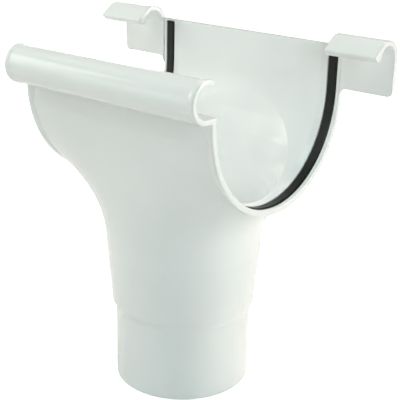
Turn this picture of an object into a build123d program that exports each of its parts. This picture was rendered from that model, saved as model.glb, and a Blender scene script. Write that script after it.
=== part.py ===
from build123d import *
from math import acos, cos, degrees, radians, sin, sqrt
import os

# Running outlet for a half-round gutter. It joins two gutter ends and drains them
# into a round downpipe. One moulding, with a rubber seal let into each end.
# The origin is on the spigot's axis, level with its lower end. The gutter runs
# along X, its rolled front bead is at -Y, its rear wall at +Y, and Z is up.
# All sizes are in millimetres.

# Spigot that enters the downpipe
spigot_radius = 45.0
spigot_wall = 2.7
spigot_length = 50.0
spigot_edge = 0.6
step_height = 5.0
step_out = 2.45

# Drop between spigot and gutter: a slightly flared cone
cone_length = 45.0
cone_growth = 3.55
cone_wall = 3.0

# Gutter channel. It is wider and longer than the cone's top, which it stands above
channel_beyond_cone = 13.2
ends_beyond_cone = 22.5
underside_above_cone = 33.2
channel_wall = 2.7
seat_step = 0.7
seat_length = 10.6
bore_ramp = 4.0
rear_top_above_axis = 28.1

# Thick lip round each end, with its corners broken
lip_growth = 1.2
lip_length = 2.4
lip_ramp = 4.5
lip_hidden = 0.3
lip_edge = 0.5
bead_lip_growth = 0.4
bead_lip_ramp = 1.6

# Skirt that drapes from the channel down to the cone
crease_below_axis = 11.9
crease_inset = 0.4
skirt_cover = 0.2
skirt_shoulder_above_underside = 16.8
skirt_flare_power = 2.65
shoulder_stations = (0, 0.3, 0.6, 0.85)
throat_stations = (0.16, 0.33, 0.5, 0.65, 0.8)
skirt_split = 0.5
skirt_stations = (0.2, 0.35, 0.5, 0.62, 0.74, 0.86)

# Mouth inside the skirt, one wall further in, where the channel empties into the cone
mouth_margin = 0.4
mouth_flare_power = 3.2
mouth_follows_skirt_to = 24.6
mouth_top_below_axis = 1.4
mouth_top_inset = 1.5
mouth_stations = (0.2, 0.35, 0.46, 0.57, 0.68, 0.8, 0.9, 1)

# Rolled bead along the front edge, open towards the gutter
bead_behind_wall = 8.0
bead_height_above_axis = 14.0
bead_inner_radius = 9.05
bead_wall = 2.75
bead_mouth_angle = 68.0

# Rubber seals
seal_from_end = 2.6
seal_width = 7.0
groove_clearance = 0.1
groove_depth = 1.0
seal_stand = 0.6
seal_edge = 1.3
seal_below_rear_top = 1.5
seal_front_above_axis = 1.6

# Clip tabs at the back, with a hook over the gutter's rear edge
tab_thickness = 3.2
tab_reach = 36.6
tab_bottom_above_axis = 1.6
tab_corner = 3.0
tab_fillet = 4.5
hook_gap = 1.5
hook_inner_radius = 8.6
hook_above_axis = 25.1
hook_flange_angle = 36.0
hook_flange_length = 10.6
hook_tip_back = 3.7
hook_tip_drop = 3.3
hook_inner_turn = 173.0
hook_tip_rounding = 0.9

# Levels and positions that follow from the sizes above
cone_bottom = spigot_length + step_height
cone_top = cone_bottom + cone_length
cone_bottom_radius = spigot_radius + step_out
cone_top_radius = cone_bottom_radius + cone_growth
cone_flare = cone_growth / cone_length
cone_mid = cone_top - cone_length / 4
cone_mid_radius = cone_bottom_radius + cone_flare * (cone_mid - cone_bottom)
shell_radius = cone_top_radius + channel_beyond_cone
seat_radius = shell_radius - channel_wall
bore_radius = seat_radius - seat_step
channel_half_length = cone_top_radius + ends_beyond_cone
axis_height = cone_top + underside_above_cone + shell_radius
crease_height = axis_height - crease_below_axis
rear_top = axis_height + rear_top_above_axis
front_top = axis_height + bead_height_above_axis - bead_inner_radius
lip_start = channel_half_length - lip_length
seat_start = channel_half_length - seat_length
bore_half_length = seat_start - bore_ramp
shoulder_height = axis_height - shell_radius + skirt_shoulder_above_underside
cut_margin = 2.0
spigot_bore_radius = spigot_radius - spigot_wall
bead_radius = bead_inner_radius + bead_wall
groove_radius = seat_radius + groove_depth
seal_face_radius = seat_radius - seal_stand
seal_end = channel_half_length - seal_from_end
seal_rear_top = rear_top - seal_below_rear_top
seal_front_top = axis_height + seal_front_above_axis
groove_rear_top = seal_rear_top + groove_clearance
groove_front_top = seal_front_top + groove_clearance
rear_cut = rear_top + cut_margin
front_cut = front_top + cut_margin
tab_front = shell_radius - tab_thickness
tab_half_span = channel_half_length + tab_reach
hook_start = channel_half_length + hook_gap
tab_bottom = axis_height + tab_bottom_above_axis
hook_height = axis_height + hook_above_axis
hook_centre = (tab_front - hook_inner_radius, hook_height)
hook_radius = hook_inner_radius + tab_thickness


# Skirt sections. Each one is an ellipse, wider along the gutter than across it
crease_half_width = shell_radius - crease_inset
crease_rise = crease_height - cone_top
skirt_bulge = (crease_half_width - cone_top_radius - cone_flare * crease_rise) / crease_rise**2


def skirt_half_width(height):
    rise = height - cone_top
    return cone_top_radius + cone_flare * rise + skirt_bulge * max(rise, 0) ** 2


def end_half_width(height):
    """Half width of the skirt where it meets an end lip: just outside the round shell."""
    return sqrt((shell_radius + skirt_cover) ** 2 - (axis_height - height) ** 2)


def skirt_end_reach(height):
    """Half length of the ellipse that passes through the end lip's edge."""
    return lip_start / sqrt(1 - (end_half_width(height) / skirt_half_width(height)) ** 2)


shoulder_rise = shoulder_height - cone_top
shoulder_spread = skirt_end_reach(shoulder_height) - cone_top_radius - cone_flare * shoulder_rise


def skirt_half_length(height):
    if height >= shoulder_height:
        return skirt_end_reach(height)
    rise = height - cone_top
    flare = shoulder_spread * (max(rise, 0) / shoulder_rise) ** skirt_flare_power
    return cone_top_radius + cone_flare * rise + flare


# Mouth inside: the same drop one wall further in, opening into the channel's bore
bore_bottom = axis_height - bore_radius
mouth_rise = bore_bottom - cone_top
mouth_inner_radius = cone_top_radius - cone_wall
mouth_spread = bore_half_length - mouth_margin - mouth_inner_radius - cone_flare * mouth_rise


def mouth_half_length(height):
    rise = height - cone_top
    flare = mouth_spread * (max(rise, 0) / mouth_rise) ** mouth_flare_power
    return mouth_inner_radius + cone_flare * rise + flare


def mouth_half_width(height):
    return min(skirt_half_width(height) - cone_wall, mouth_half_length(height))


# Above that the mouth straightens, so that it meets the bore in a crease
mouth_follow_height = axis_height - mouth_follows_skirt_to
mouth_top = axis_height - mouth_top_below_axis
mouth_crease_width = sqrt(bore_radius**2 - crease_below_axis**2)


def channel_profile(radius, rear_height, front_height):
    """Half-round channel section, drawn across the gutter in the XY of the YZ plane."""
    with BuildSketch() as profile:
        with BuildLine():
            Line((radius, axis_height), (radius, rear_height))
            Line((radius, rear_height), (0, rear_height))
            Line((0, rear_height), (0, front_height))
            Line((0, front_height), (-radius, front_height))
            Line((-radius, front_height), (-radius, axis_height))
            ThreePointArc((-radius, axis_height), (0, axis_height - radius), (radius, axis_height))
        make_face()
    return profile.sketch


bead_centre = (-seat_radius - bead_behind_wall, axis_height + bead_height_above_axis)
bead_turn = 270 - bead_mouth_angle


def bead_profile(outer_radius):
    """Rolled bead with the shelf that joins it to the front wall, open at its inner side."""
    lip_radius = (outer_radius + bead_inner_radius) / 2
    lip_centre = (
        bead_centre[0] + lip_radius * cos(radians(bead_mouth_angle)),
        bead_centre[1] + lip_radius * sin(radians(bead_mouth_angle)),
    )
    with BuildSketch() as profile:
        with BuildLine():
            outer = CenterArc(bead_centre, outer_radius, bead_mouth_angle, bead_turn)
            inner = CenterArc(bead_centre, bead_inner_radius, bead_mouth_angle, bead_turn)
            Line(outer @ 0, inner @ 0)
            Polyline(outer @ 1, (-seat_radius, (outer @ 1).Y), (-seat_radius, front_top), inner @ 1)
        make_face()
        with Locations(lip_centre):
            Circle((outer_radius - bead_inner_radius) / 2)
    return profile.sketch


clip_width = 3 * shell_radius

shoulder_to_crease = crease_height - shoulder_height
upper_levels = [shoulder_height + station * shoulder_to_crease for station in shoulder_stations]

# Throat of the skirt: whole ellipses from the cone up, cut level with the split
split_height = cone_top + skirt_split * shoulder_rise
throat_levels = [cone_mid, cone_top]
throat_levels += [cone_top + station * shoulder_rise for station in throat_stations]

with BuildPart() as throat:
    for level in throat_levels:
        with BuildSketch(Plane.XY.offset(level)):
            Ellipse(skirt_half_length(level), skirt_half_width(level))
    loft()
    with Locations((0, 0, cone_mid)):
        Box(
            clip_width,
            clip_width,
            split_height - cone_mid,
            align=(Align.CENTER, Align.CENTER, Align.MIN),
            mode=Mode.INTERSECT,
        )

# Lower skirt: whole ellipses from the split up to the shoulder, cut off at the end lips
lower_levels = [cone_top + station * shoulder_rise for station in skirt_stations]

with BuildPart() as lower_skirt:
    for level in lower_levels + upper_levels[:2]:
        with BuildSketch(Plane.XY.offset(level)):
            Ellipse(skirt_half_length(level), skirt_half_width(level))
    loft()
    with Locations((0, 0, split_height)):
        Box(
            2 * lip_start,
            clip_width,
            shoulder_height - split_height,
            align=(Align.CENTER, Align.CENTER, Align.MIN),
            mode=Mode.INTERSECT,
        )

# Upper skirt: the middle stretch of each ellipse, cut off square at the end lips
with BuildPart() as upper_skirt:
    for level in [lower_levels[-1]] + upper_levels:
        reach = skirt_half_length(level)
        width = skirt_half_width(level)
        turn = degrees(acos(lip_start / reach))
        edge = width * sin(radians(turn))
        with BuildSketch(Plane.XY.offset(level)):
            with BuildLine():
                EllipticalCenterArc((0, 0), reach, width, turn, arc_size=180 - 2 * turn)
                Line((-lip_start, edge), (-lip_start, -edge))
                EllipticalCenterArc((0, 0), reach, width, 180 + turn, arc_size=180 - 2 * turn)
                Line((lip_start, -edge), (lip_start, edge))
            make_face()
    with BuildSketch(Plane.XY.offset(crease_height)):
        Rectangle(2 * lip_start, 2 * crease_half_width)
    loft()
    with Locations((0, 0, shoulder_height)):
        Box(
            2 * lip_start,
            clip_width,
            crease_height - shoulder_height,
            align=(Align.CENTER, Align.CENTER, Align.MIN),
            mode=Mode.INTERSECT,
        )

# Cone, step and spigot, still solid
with BuildPart() as drop:
    with BuildSketch(Plane.XZ):
        with BuildLine():
            Polyline(
                (0, 0),
                (spigot_radius, 0),
                (spigot_radius, spigot_length),
                (cone_bottom_radius, cone_bottom),
                (cone_mid_radius, cone_mid),
                (0, cone_mid),
                close=True,
            )
        make_face()
    revolve(axis=Axis.Z)

# Thick lip round each end of the channel, ramped up from just under the skirt
with BuildPart() as end_lip:
    with BuildSketch(Plane.YZ.offset(lip_start - lip_ramp)):
        add(channel_profile(shell_radius - lip_hidden, rear_top, front_top))
    with BuildSketch(Plane.YZ.offset(lip_start)):
        add(channel_profile(shell_radius + lip_growth, rear_top, front_top))
    loft(ruled=True)
    with BuildSketch(Plane.YZ.offset(lip_start)):
        add(channel_profile(shell_radius + lip_growth, rear_top, front_top))
    extrude(amount=lip_length - lip_edge)
    with BuildSketch(Plane.YZ.offset(channel_half_length - lip_edge)):
        add(channel_profile(shell_radius + lip_growth, rear_top, front_top))
    with BuildSketch(Plane.YZ.offset(channel_half_length)):
        add(channel_profile(shell_radius + lip_growth - lip_edge, rear_top, front_top))
    loft(ruled=True)

# Bead, with a thinner lip of the same kind round its end
with BuildPart() as half_bead:
    with BuildSketch(Plane.YZ):
        add(bead_profile(bead_radius))
    extrude(amount=lip_start - bead_lip_ramp)
    with BuildSketch(Plane.YZ.offset(lip_start - bead_lip_ramp)):
        add(bead_profile(bead_radius))
    with BuildSketch(Plane.YZ.offset(lip_start)):
        add(bead_profile(bead_radius + bead_lip_growth))
    loft(ruled=True)
    with BuildSketch(Plane.YZ.offset(lip_start)):
        add(bead_profile(bead_radius + bead_lip_growth))
    extrude(amount=lip_length - lip_edge)
    with BuildSketch(Plane.YZ.offset(channel_half_length - lip_edge)):
        add(bead_profile(bead_radius + bead_lip_growth))
    with BuildSketch(Plane.YZ.offset(channel_half_length)):
        add(bead_profile(bead_radius + bead_lip_growth - lip_edge))
    loft(ruled=True)

# Hooked clip tab at the right-hand end
with BuildPart() as clip_tab:
    with BuildSketch(Plane.XZ.offset(-tab_front)):
        with BuildLine():
            CenterArc((channel_half_length + tab_fillet, tab_bottom - tab_fillet), tab_fillet, 180, -90)
            Line((channel_half_length + tab_fillet, tab_bottom), (tab_half_span - tab_corner, tab_bottom))
            CenterArc((tab_half_span - tab_corner, tab_bottom + tab_corner), tab_corner, 270, 90)
            Polyline(
                (tab_half_span, tab_bottom + tab_corner),
                (tab_half_span, hook_height),
                (hook_start, hook_height),
                (hook_start, rear_top),
                (channel_half_length, rear_top),
                (channel_half_length, tab_bottom - tab_fillet),
            )
        make_face()
    extrude(amount=-tab_thickness)
    with BuildSketch(Plane.YZ.offset(hook_start)) as hook_profile:
        with BuildLine():
            back = CenterArc(hook_centre, hook_radius, 0, 90 + hook_flange_angle)
            flange = Line(back @ 1, back @ 1 + (back % 1) * hook_flange_length)
            under = CenterArc(hook_centre, hook_inner_radius, 0, hook_inner_turn)
            tip = flange @ 1 + (hook_tip_back, -hook_tip_drop)
            Polyline(flange @ 1, tip, under @ 1)
            Line(under @ 0, back @ 0)
        make_face()
        tip_corners = [hook_profile.vertices().sort_by_distance(point)[0] for point in (flange @ 1, tip)]
        fillet(tip_corners, hook_tip_rounding)
    extrude(amount=tab_half_span - hook_start)

# Bore of the channel at its right-hand end: a ramp out to the seat, and the seal's groove
with BuildPart() as end_bore:
    with BuildSketch(Plane.YZ.offset(bore_half_length)):
        add(channel_profile(bore_radius, rear_cut, front_cut))
    with BuildSketch(Plane.YZ.offset(seat_start)):
        add(channel_profile(seat_radius, rear_cut, front_cut))
    loft(ruled=True)
    with BuildSketch(Plane.YZ.offset(seat_start)):
        add(channel_profile(seat_radius, rear_cut, front_cut))
    extrude(amount=seat_length - lip_edge)
    with BuildSketch(Plane.YZ.offset(channel_half_length - lip_edge)):
        add(channel_profile(seat_radius, rear_cut, front_cut))
    with BuildSketch(Plane.YZ.offset(channel_half_length + cut_margin)):
        add(channel_profile(seat_radius + lip_edge + cut_margin, rear_cut, front_cut))
    loft(ruled=True)
    with BuildSketch(Plane.YZ.offset(seal_end + groove_clearance)):
        add(channel_profile(groove_radius, groove_rear_top, groove_front_top))
    extrude(amount=-seal_width - 2 * groove_clearance)

# Mouth of the drop, from the channel's bore down into the cone
mouth_levels = [cone_mid, cone_top]
mouth_levels += [cone_top + station * (mouth_follow_height - cone_top) for station in mouth_stations]
mouth_sections = [(level, mouth_half_width(level)) for level in mouth_levels]
mouth_sections += [(crease_height, mouth_crease_width), (mouth_top, bore_radius - mouth_top_inset)]

with BuildPart() as mouth:
    for level, half_width in mouth_sections:
        with BuildSketch(Plane.XY.offset(level)):
            Ellipse(mouth_half_length(level), half_width)
    loft(ruled=True)

with BuildPart() as drop_bore:
    with BuildSketch(Plane.XZ):
        with BuildLine():
            Polyline(
                (0, -cut_margin),
                (spigot_bore_radius + spigot_edge + cut_margin, -cut_margin),
                (spigot_bore_radius, spigot_edge),
                (spigot_bore_radius, spigot_length),
                (cone_bottom_radius - cone_wall, cone_bottom),
                (cone_mid_radius - cone_wall, cone_mid),
                (0, cone_mid),
                close=True,
            )
        make_face()
    revolve(axis=Axis.Z)

with BuildPart() as outlet_body:
    add(drop.part)
    add(throat.part)
    add(lower_skirt.part)
    add(upper_skirt.part)
    # Channel walls above the crease, still a solid block
    with BuildSketch(Plane.YZ):
        with BuildLine():
            Polyline(
                (-crease_half_width, crease_height),
                (crease_half_width, crease_height),
                (shell_radius, axis_height),
                (shell_radius, rear_top),
                (0, rear_top),
                (0, front_top),
                (-shell_radius, front_top),
                (-shell_radius, axis_height),
                close=True,
            )
        make_face()
    extrude(amount=lip_start, both=True)
    add(end_lip.part)
    mirror(end_lip.part, about=Plane.YZ)
    # Hollow it out
    with BuildSketch(Plane.YZ):
        add(channel_profile(bore_radius, rear_cut, front_cut))
    extrude(amount=bore_half_length, both=True, mode=Mode.SUBTRACT)
    add(end_bore.part, mode=Mode.SUBTRACT)
    mirror(end_bore.part, about=Plane.YZ, mode=Mode.SUBTRACT)
    add(mouth.part, mode=Mode.SUBTRACT)
    add(drop_bore.part, mode=Mode.SUBTRACT)
    # Bead and clip tabs
    add(half_bead.part)
    mirror(half_bead.part, about=Plane.YZ)
    add(clip_tab.part)
    mirror(clip_tab.part, about=Plane.YZ)
outlet_body.part.label = "outlet_body"

# Seals: a flat strip bent round the groove, with its inner corners broken
with BuildPart() as seal_right:
    with BuildSketch(Plane.YZ.offset(seal_end)):
        add(channel_profile(groove_radius, seal_rear_top, seal_front_top))
        add(channel_profile(seal_face_radius, rear_cut, front_cut), mode=Mode.SUBTRACT)
    extrude(amount=-seal_width)
    rim = seal_right.edges().filter_by(GeomType.CIRCLE).filter_by(lambda edge: edge.radius < seat_radius)
    chamfer(rim, seal_edge)
seal_right.part.label = "seal_right"

with BuildPart() as seal_left:
    mirror(seal_right.part, about=Plane.YZ)
seal_left.part.label = "seal_left"

os.makedirs("parts", exist_ok=True)
for piece in (outlet_body, seal_right, seal_left):
    export_step(piece.part, f"parts/{piece.part.label}.step")
    print(piece.part.label, round(piece.part.volume), piece.part.is_valid, len(piece.part.solids()))
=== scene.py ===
# %% [markdown]
# This lesson dresses a gutter outlet in white uPVC. The outlet joins two lengths of
# half-round gutter and lets the water fall into a round downpipe. It is one injection
# moulding, with a black rubber seal let into a groove at each end. The solids are packed
# already and come from a fixed frame. The lesson adds the photographer's camera, a soft
# studio, the two materials, and what a mould leaves on the surface.

# %% Load the fixed frame
import math

import bmesh
import bpy
from mathutils import Matrix, Vector


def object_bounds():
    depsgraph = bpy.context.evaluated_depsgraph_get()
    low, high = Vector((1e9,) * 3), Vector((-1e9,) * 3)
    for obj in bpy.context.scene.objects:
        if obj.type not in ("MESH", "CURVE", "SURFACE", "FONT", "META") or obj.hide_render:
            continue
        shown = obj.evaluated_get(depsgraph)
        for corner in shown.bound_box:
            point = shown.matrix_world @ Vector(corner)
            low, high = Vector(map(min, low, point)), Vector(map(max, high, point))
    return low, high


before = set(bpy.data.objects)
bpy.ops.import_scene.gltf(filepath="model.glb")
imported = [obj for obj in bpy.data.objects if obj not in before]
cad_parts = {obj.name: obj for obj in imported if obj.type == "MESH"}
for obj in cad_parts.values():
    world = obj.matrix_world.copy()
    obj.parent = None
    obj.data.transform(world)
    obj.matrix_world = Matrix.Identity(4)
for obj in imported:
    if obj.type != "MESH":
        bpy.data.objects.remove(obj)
cad_low, cad_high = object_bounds()
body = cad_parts["outlet_body"]
seals = [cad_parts["seal_left"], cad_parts["seal_right"]]
print("outlet box in millimetres:", [round(1000 * size, 1) for size in cad_high - cad_low])


# %% [markdown]
# The photographer stood to the right of the front and a little above. A camera could be
# turned by hand until the picture looks right, but some edges would stay out of place. So
# it was fitted to the photograph together with the outlet's sizes: the spigot's rim and the
# step are circles, the ends of the channel are arcs and the bead is straight, and the fit
# put them close to where the picture has them. The camera's axis doesn't meet the middle of
# the picture, so the lens is shifted by a small amount.

# %% Camera
MM = 0.001
PHOTO_WIDTH = 400
camera_place = Vector((362.3, -427.7, 322.5)) * MM
camera_back = Vector((0.5664, -0.7414, 0.3600)).normalized()
camera_right = Vector((0.7869, 0.6163, 0.0309))
camera_right = (camera_right - camera_back * camera_right.dot(camera_back)).normalized()
camera_up = camera_back.cross(camera_right)
focal_pixels = 910.89
axis_pixel = Vector((227.2, 224.6))

camera_data = bpy.data.cameras.new("photo_camera")
camera_data.sensor_width = 36.0
camera_data.lens = focal_pixels * camera_data.sensor_width / PHOTO_WIDTH
camera_data.shift_x = 0.5 - axis_pixel.x / PHOTO_WIDTH
camera_data.shift_y = axis_pixel.y / PHOTO_WIDTH - 0.5
camera_data.clip_start = 0.01
camera_data.clip_end = 20.0
camera = bpy.data.objects.new("photo_camera", camera_data)
camera_axes = Matrix((camera_right, camera_up, camera_back)).transposed()
camera.matrix_world = Matrix.Translation(camera_place) @ camera_axes.to_4x4()
bpy.context.scene.collection.objects.link(camera)
bpy.context.scene.camera = camera
print("lens in millimetres:", round(camera_data.lens, 1))


# %% [markdown]
# Colours are written as sRGB hex values, but shaders work in linear light, so one
# function converts them. A second one adds a node, sets its inputs and links it, which
# keeps each material readable as a recipe. A third one makes an empty material to fill.

# %% Helpers
def linear(hex_colour):
    """Turn an sRGB hex colour into linear red, green, blue and alpha."""
    parts = [int(hex_colour[start:start + 2], 16) / 255 for start in (1, 3, 5)]
    parts = [part / 12.92 if part <= 0.04045 else ((part + 0.055) / 1.055) ** 2.4 for part in parts]
    return (*parts, 1.0)


def add_node(tree, kind, inputs=None, **settings):
    """Add a node. Inputs hold values, or sockets of other nodes to link from."""
    node = tree.nodes.new(kind)
    for name, value in settings.items():
        setattr(node, name, value)
    for name, value in (inputs or {}).items():
        if isinstance(value, bpy.types.NodeSocket):
            tree.links.new(value, node.inputs[name])
        else:
            node.inputs[name].default_value = value
    return node


def new_material(name):
    """Make a node material and return it with its empty tree and its output node."""
    material = bpy.data.materials.new(name)
    material.use_nodes = True
    material.node_tree.nodes.clear()
    output = add_node(material.node_tree, "ShaderNodeOutputMaterial")
    return material, material.node_tree, output


print("middle grey in linear light:", round(linear("#808080")[0], 3))


# %% [markdown]
# Gutter fittings are injection moulded in unplasticised PVC, made white with titanium
# pigment. The mould is polished, so the skin has a soft gloss, with a faint ripple where
# the melt cooled unevenly, and the white drifts by a shade from place to place. A painted
# picture of that would need unwrapping, while noise in Object coordinates works on any
# shape. A broad noise sets the tint, a middle one the gloss and the waves, and a fine one
# the grain. A little subsurface light softens the shading, as in the real plastic.

# %% Moulded white uPVC
UPVC_LIGHT = "#F4F5F6"
UPVC_SHADE = "#F0F1F2"
UPVC_IOR = 1.53
UPVC_ROUGHNESS_LOW = 0.17
UPVC_ROUGHNESS_HIGH = 0.21
# Light goes a short way under the skin before it comes back.
LIGHT_DEPTH = 2 * MM
# The pigment spreads with the flow of the melt, so the tint drifts over a few centimetres.
DRIFT_SIZE = 45 * MM
# Shrinkage leaves shallow waves of about a centimetre, which bend the reflections a little.
RIPPLE_SIZE = 14 * MM
RIPPLE_DEPTH = 0.04 * MM
# The real grain is finer than this. It is drawn as coarse as it needs to be to show.
GRAIN_SIZE = 0.9 * MM
GRAIN_DEPTH = 0.004 * MM
# Every edge of a moulding is slightly round. The shader rounds it and leaves the solid alone.
EDGE_ROUNDING = 1.4 * MM


def upvc_tint(tree, place):
    """Return a white that drifts by a shade from place to place."""
    drift = add_node(tree, "ShaderNodeTexNoise", {"Vector": place, "Scale": 1 / DRIFT_SIZE, "Detail": 3.0})
    tint = add_node(tree, "ShaderNodeValToRGB", {"Fac": drift.outputs["Fac"]})
    shade_stop, light_stop = tint.color_ramp.elements
    shade_stop.position = 0.3
    shade_stop.color = linear(UPVC_SHADE)
    light_stop.position = 0.7
    light_stop.color = linear(UPVC_LIGHT)
    return tint.outputs["Color"]


def mould_skin(tree, place, ripple):
    """Return a normal with soft edges, then shallow waves, then a fine grain."""
    soft_edge = add_node(tree, "ShaderNodeBevel", {"Radius": EDGE_ROUNDING}, samples=6)
    wave = add_node(
        tree,
        "ShaderNodeBump",
        {
            "Height": ripple,
            "Strength": 0.3,
            "Distance": RIPPLE_DEPTH,
            "Normal": soft_edge.outputs["Normal"],
        },
    )
    grain = add_node(tree, "ShaderNodeTexNoise", {"Vector": place, "Scale": 1 / GRAIN_SIZE, "Detail": 2.0})
    skin = add_node(
        tree,
        "ShaderNodeBump",
        {
            "Height": grain.outputs["Fac"],
            "Strength": 0.1,
            "Distance": GRAIN_DEPTH,
            "Normal": wave.outputs["Normal"],
        },
    )
    return skin.outputs["Normal"]


def make_upvc():
    """Make the material of the white moulding."""
    material, tree, output = new_material("moulded_white_upvc")
    place = add_node(tree, "ShaderNodeTexCoord").outputs["Object"]
    ripple = add_node(tree, "ShaderNodeTexNoise", {"Vector": place, "Scale": 1 / RIPPLE_SIZE, "Detail": 0.0})
    gloss = add_node(
        tree,
        "ShaderNodeMapRange",
        {
            "Value": ripple.outputs["Fac"],
            "From Min": 0.2,
            "From Max": 0.8,
            "To Min": UPVC_ROUGHNESS_LOW,
            "To Max": UPVC_ROUGHNESS_HIGH,
        },
    )
    shader = add_node(
        tree,
        "ShaderNodeBsdfPrincipled",
        {
            "Base Color": upvc_tint(tree, place),
            "Roughness": gloss.outputs["Result"],
            "IOR": UPVC_IOR,
            "Subsurface Weight": 0.12,
            "Subsurface Radius": (1.0, 1.0, 0.9),
            "Subsurface Scale": LIGHT_DEPTH,
            "Normal": mould_skin(tree, place, ripple.outputs["Fac"]),
        },
    )
    tree.links.new(shader.outputs["BSDF"], output.inputs["Surface"])
    return material


upvc = make_upvc()
print("material:", upvc.name)


# %% [markdown]
# The seals are extruded from EPDM, the rubber of car door seals. It is almost black and
# dull, with a bloom that makes it slightly grey where it catches the light. One flat black
# would read as a hole, so a noise mixes the black with the grey of the bloom, and a grain
# in the bump breaks up the highlight.

# %% Black EPDM rubber
EPDM_BLACK = "#0C100E"
EPDM_BLOOM = "#181D1A"
EPDM_IOR = 1.5
EPDM_ROUGHNESS = 0.4
# The photograph's seals shine less than the IOR alone gives, so the shine is turned down.
EPDM_SPECULAR = 0.28
# The bloom is taken to lie in patches of a few millimetres.
BLOOM_SIZE = 6 * MM
# The real grain is finer than this. It is drawn as coarse as it needs to be to show.
RUBBER_GRAIN = 0.5 * MM
RUBBER_GRAIN_DEPTH = 0.03 * MM


def bloomed_black(tree, place):
    """Return a black that turns slightly grey in patches."""
    bloom = add_node(tree, "ShaderNodeTexNoise", {"Vector": place, "Scale": 1 / BLOOM_SIZE, "Detail": 4.0})
    tint = add_node(tree, "ShaderNodeValToRGB", {"Fac": bloom.outputs["Fac"]})
    black_stop, grey_stop = tint.color_ramp.elements
    black_stop.position = 0.35
    black_stop.color = linear(EPDM_BLACK)
    grey_stop.position = 0.75
    grey_stop.color = linear(EPDM_BLOOM)
    return tint.outputs["Color"]


def make_epdm():
    """Make the material of the black seals."""
    material, tree, output = new_material("black_epdm_rubber")
    place = add_node(tree, "ShaderNodeTexCoord").outputs["Object"]
    grain = add_node(tree, "ShaderNodeTexNoise", {"Vector": place, "Scale": 1 / RUBBER_GRAIN, "Detail": 2.0})
    skin = add_node(
        tree,
        "ShaderNodeBump",
        {"Height": grain.outputs["Fac"], "Strength": 0.4, "Distance": RUBBER_GRAIN_DEPTH},
    )
    shader = add_node(
        tree,
        "ShaderNodeBsdfPrincipled",
        {
            "Base Color": bloomed_black(tree, place),
            "Roughness": EPDM_ROUGHNESS,
            "IOR": EPDM_IOR,
            "Specular IOR Level": EPDM_SPECULAR,
            "Normal": skin.outputs["Normal"],
        },
    )
    tree.links.new(shader.outputs["BSDF"], output.inputs["Surface"])
    return material


epdm = make_epdm()
print("material:", epdm.name)


# %% [markdown]
# The solids come from the frame with their shape and place, and those stay. A finish could
# be given face by face, but each piece here is one material all over, so its slots are
# emptied and it gets that one.

# %% Give the finishes to the pieces
def coat(piece, material):
    """Empty the piece's slots and give it one material."""
    piece.data.materials.clear()
    piece.data.materials.append(material)


coat(body, upvc)
for seal in seals:
    coat(seal, epdm)
print("finished pieces:", body.name, [seal.name for seal in seals])


# %% [markdown]
# The photograph is a cut-out on pure white, while the outlet's own edges stay grey, as if
# the room round it was darker and the white was put in later. A bright world would wash
# the edges out. So the backdrop is white only for the rays that the eye sees directly or
# through something clear. In gloss it is three tenths as bright, and it gives the outlet no
# other light.

# %% White backdrop
GLOSS_SHARE = 0.3


def backdrop_share(tree):
    """Return a socket: 1 where the eye sees the backdrop, GLOSS_SHARE in gloss, else 0."""
    rays = add_node(tree, "ShaderNodeLightPath")
    clear = add_node(
        tree,
        "ShaderNodeMath",
        {0: rays.outputs["Is Camera Ray"], 1: rays.outputs["Is Transmission Ray"]},
        operation="MAXIMUM",
    )
    gloss = add_node(
        tree, "ShaderNodeMath", {0: rays.outputs["Is Glossy Ray"], 1: GLOSS_SHARE}, operation="MULTIPLY"
    )
    share = add_node(
        tree, "ShaderNodeMath", {0: clear.outputs["Value"], 1: gloss.outputs["Value"]}, operation="MAXIMUM"
    )
    return share.outputs["Value"]


world = bpy.data.worlds.new("white_backdrop")
world.use_nodes = True
bpy.context.scene.world = world
sky = world.node_tree
sky.nodes.clear()
backdrop = add_node(
    sky, "ShaderNodeBackground", {"Color": linear("#FFFFFF"), "Strength": backdrop_share(sky)}
)
add_node(sky, "ShaderNodeOutputWorld", {"Surface": backdrop.outputs["Background"]})
print("backdrop:", world.name, "with", GLOSS_SHARE, "of its white in gloss")


# %% [markdown]
# Soft light from several sides shapes a white moulding. Lamps could be set one after the
# other by eye, but each one changes what the others need. Light adds up, so each lamp was
# rendered alone instead, and the powers and tints started as the mix of those renders that
# came closest to the photograph, with a limit on the light that falls on the moulding's
# back. Three powers were then changed a little, and all were rounded. Seen from
# behind, the rear wall is still almost white. The two lamps with the rear tint are warm and
# brighten the end faces and the inside. The two with the front tint lean slightly to green,
# as the top of the bead does. Each lamp stands on a dome round the outlet and is aimed at
# its middle. The compass angle is counted from the front towards the right, and the height
# angle up from level.

# %% Lamps
LAMP_DISTANCE = 1.25
DOME_CENTRE_HEIGHT = 0.12
LEFT_TINT = "#FEFFF5"
FRONT_TINT = "#EBFFFC"
REAR_TINT = "#FFF8EE"
LAMPS = [
    # name, compass angle, height angle, side in metres, power in watts, tint
    ("left_rear_low", -125, 8, 0.5, 4.1, LEFT_TINT),
    ("left_front_low", -38, 8, 0.5, 1.2, LEFT_TINT),
    ("left_key", -60, 25, 0.5, 2.5, LEFT_TINT),
    ("left_wide", -60, 30, 1.2, 4.0, LEFT_TINT),
    ("front_high", 0, 65, 0.6, 3.3, FRONT_TINT),
    ("front_right", 60, 25, 0.5, 4.5, FRONT_TINT),
    ("rear_right_low", 130, 8, 0.5, 7.8, REAR_TINT),
    ("rear_high", 180, 65, 0.6, 7.8, REAR_TINT),
]


def place_on_dome(compass, height):
    """Turn two angles in degrees into a place on the dome of lamps."""
    turn = math.radians(compass)
    climb = math.radians(height)
    level = LAMP_DISTANCE * math.cos(climb)
    rise = LAMP_DISTANCE * math.sin(climb)
    return Vector((level * math.sin(turn), -level * math.cos(turn), DOME_CENTRE_HEIGHT + rise))


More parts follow.
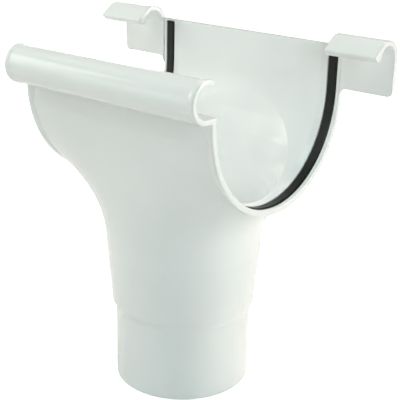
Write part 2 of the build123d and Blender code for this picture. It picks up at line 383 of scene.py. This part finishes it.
middle = (cad_low + cad_high) / 2
for name, compass, height, side, power, tint in LAMPS:
    lamp_data = bpy.data.lights.new(name, "AREA")
    lamp_data.shape = "SQUARE"
    lamp_data.size = side
    lamp_data.energy = power
    lamp_data.color = linear(tint)[:3]
    lamp = bpy.data.objects.new(name, lamp_data)
    lamp.location = place_on_dome(compass, height)
    lamp.rotation_mode = "QUATERNION"
    lamp.rotation_quaternion = (middle - lamp.location).to_track_quat("-Z", "Y")
    bpy.context.scene.collection.objects.link(lamp)
watts = sum(power for name, compass, height, side, power, tint in LAMPS)
print("lamps:", len(LAMPS), "with", round(watts, 1), "watts together")


# %% [markdown]
# The outlet stands on a wide matt sheet, which is a grid of one face. The matt paint
# bounces light onto the outlet from below. White paint alone would look grey in this weak
# light, so a glow is added, for the eye and a weaker one for gloss. It lifts the floor to
# white and leaves the outlet's own shadow on it. Far from the lamps the paint is dark, so
# the glow grows with the distance from the outlet, in metres.

# %% Floor sheet
FLOOR_HALF = 4.0
floor_mesh = bpy.data.meshes.new("studio_floor")
sheet = bmesh.new()
bmesh.ops.create_grid(sheet, x_segments=1, y_segments=1, size=FLOOR_HALF)
sheet.to_mesh(floor_mesh)
sheet.free()
floor = bpy.data.objects.new("studio_floor", floor_mesh)
bpy.context.scene.collection.objects.link(floor)
floor.location.z = cad_low.z
print("floor width in metres:", 2 * FLOOR_HALF)

# %% White floor paint
GLOW_STARTS_TO_GROW = 0.3
GLOW_IS_FULL = 0.9
GLOW_NEAR = 0.55
GLOW_FAR = 1.0


def make_floor_paint():
    """Make matt white paint with a glow that grows with the distance from the middle."""
    material, tree, output = new_material("matt_white_floor_paint")
    matt = add_node(tree, "ShaderNodeBsdfDiffuse", {"Color": linear("#F0F0F0")})
    place = add_node(tree, "ShaderNodeTexCoord").outputs["Object"]
    distance = add_node(tree, "ShaderNodeVectorMath", {0: place}, operation="LENGTH")
    growth = add_node(
        tree,
        "ShaderNodeMapRange",
        {
            "Value": distance.outputs["Value"],
            "From Min": GLOW_STARTS_TO_GROW,
            "From Max": GLOW_IS_FULL,
            "To Min": GLOW_NEAR,
            "To Max": GLOW_FAR,
        },
    )
    strength = add_node(
        tree, "ShaderNodeMath", {0: backdrop_share(tree), 1: growth.outputs["Result"]}, operation="MULTIPLY"
    )
    glow = add_node(
        tree, "ShaderNodeEmission", {"Color": linear("#FFFFFF"), "Strength": strength.outputs["Value"]}
    )
    lifted = add_node(tree, "ShaderNodeAddShader", {0: matt.outputs["BSDF"], 1: glow.outputs["Emission"]})
    tree.links.new(lifted.outputs["Shader"], output.inputs["Surface"])
    return material


floor_paint = make_floor_paint()
coat(floor, floor_paint)
print("floor paint:", floor_paint.name)


# %% [markdown]
# The Standard view shows a colour as it is written. Inside a white channel the light
# bounces many times before it gets out, and cutting that off early leaves deep places too
# dark, so more bounces are allowed.

# %% Colour and bounces
bpy.context.scene.view_settings.view_transform = "Standard"
bpy.context.scene.cycles.diffuse_bounces = 12
bpy.context.scene.cycles.max_bounces = 16
print("diffuse bounces:", bpy.context.scene.cycles.diffuse_bounces)
